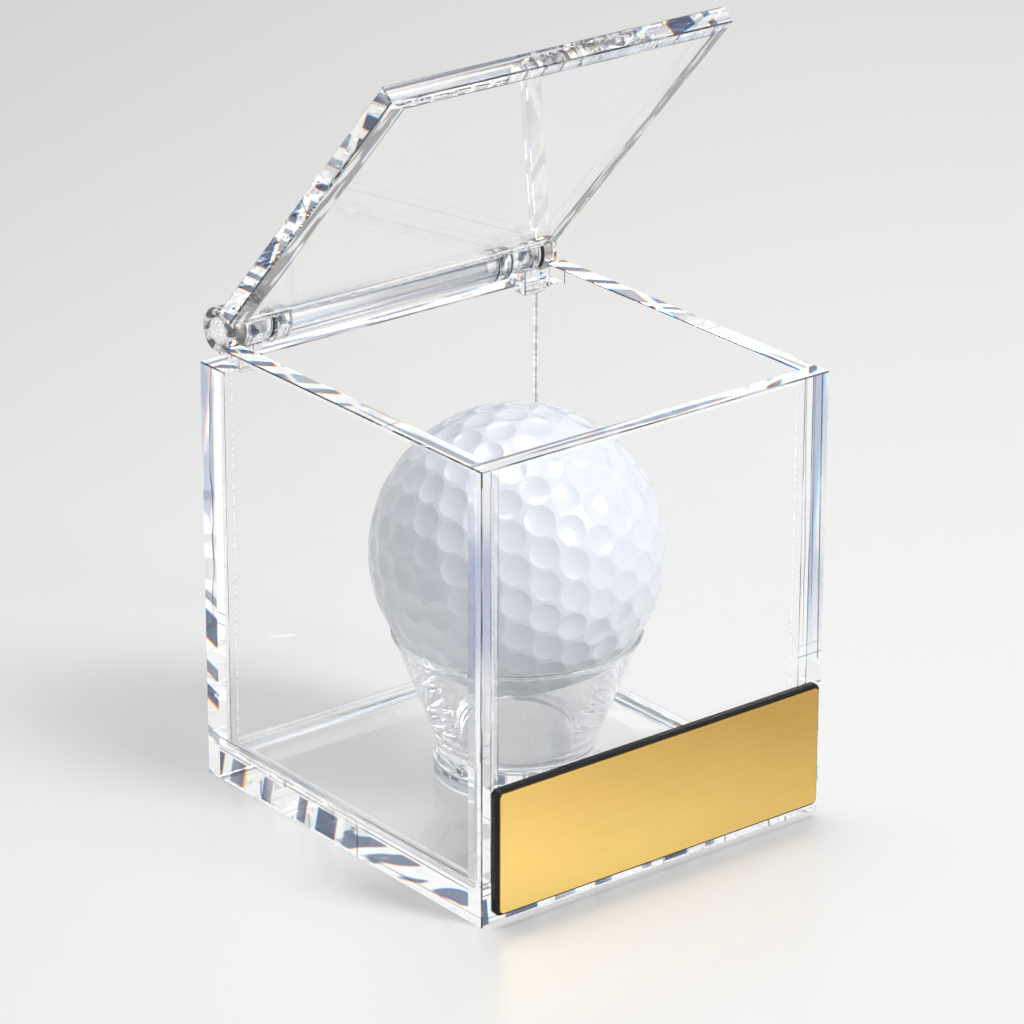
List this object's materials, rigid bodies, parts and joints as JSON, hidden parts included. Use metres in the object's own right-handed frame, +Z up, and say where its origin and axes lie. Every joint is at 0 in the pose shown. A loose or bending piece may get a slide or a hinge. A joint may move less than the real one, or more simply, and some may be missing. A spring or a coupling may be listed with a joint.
{
  "type": "golf ball display case",
  "caption": "Clear hinged box that shows a golf ball on a cup-shaped tee, with a tilting lid on a round barrel hinge and a blank gold nameplate.",
  "frame": {"origin": "middle of the case's flat underside, on the table", "axes": "+X to the right along the nameplate, +Y from the nameplate to the hinge, +Z up"},
  "size_m": [0.062, 0.0675, 0.1159],
  "materials": {
    "clear_acrylic": "clear, polished",
    "polished_metal": "polished",
    "satin_metal": "satin",
    "black_washer": "matte",
    "plate_black": "gloss",
    "plate_gold": "finely brushed",
    "adhesive_film": "matte",
    "ball_white": "gloss paint"
  },
  "bodies": {
    "case": {"base_panel": "clear_acrylic", "front_wall": "clear_acrylic", "back_wall": "clear_acrylic", "left_wall": "clear_acrylic", "right_wall": "clear_acrylic", "hinge_block_left": "clear_acrylic", "hinge_block_right": "clear_acrylic", "hinge_collar_left": "clear_acrylic", "hinge_collar_right": "clear_acrylic", "hinge_rod": "clear_acrylic", "ball_tee": "clear_acrylic", "nameplate_pad": "adhesive_film", "nameplate_backing": "plate_black", "nameplate_gold": "plate_gold"},
    "lid": {"lid_panel": "clear_acrylic", "lid_tube": "clear_acrylic", "tube_flange_left": "clear_acrylic", "tube_flange_right": "clear_acrylic", "inner_washer_left": "black_washer", "inner_washer_right": "black_washer", "outer_washer_left": "black_washer", "outer_washer_right": "black_washer", "satin_band_left": "satin_metal", "satin_band_right": "satin_metal", "end_ring_left": "polished_metal", "end_ring_right": "polished_metal"},
    "ball": {"golf_ball": "ball_white"}
  },
  "joints": [
    {"name": "lid_hinge", "type": "hinge", "parent": "case", "child": "lid", "pos_m": [0, 0.0299, 0.0696], "axis": [-1, 0, 0], "range_deg": [-48, 172]},
    {"name": "ball_turn", "type": "hinge", "parent": "case", "child": "ball", "pos_m": [0, -0.0013, 0.0386], "axis": [0, 0, 1], "continuous": true}
  ]
}
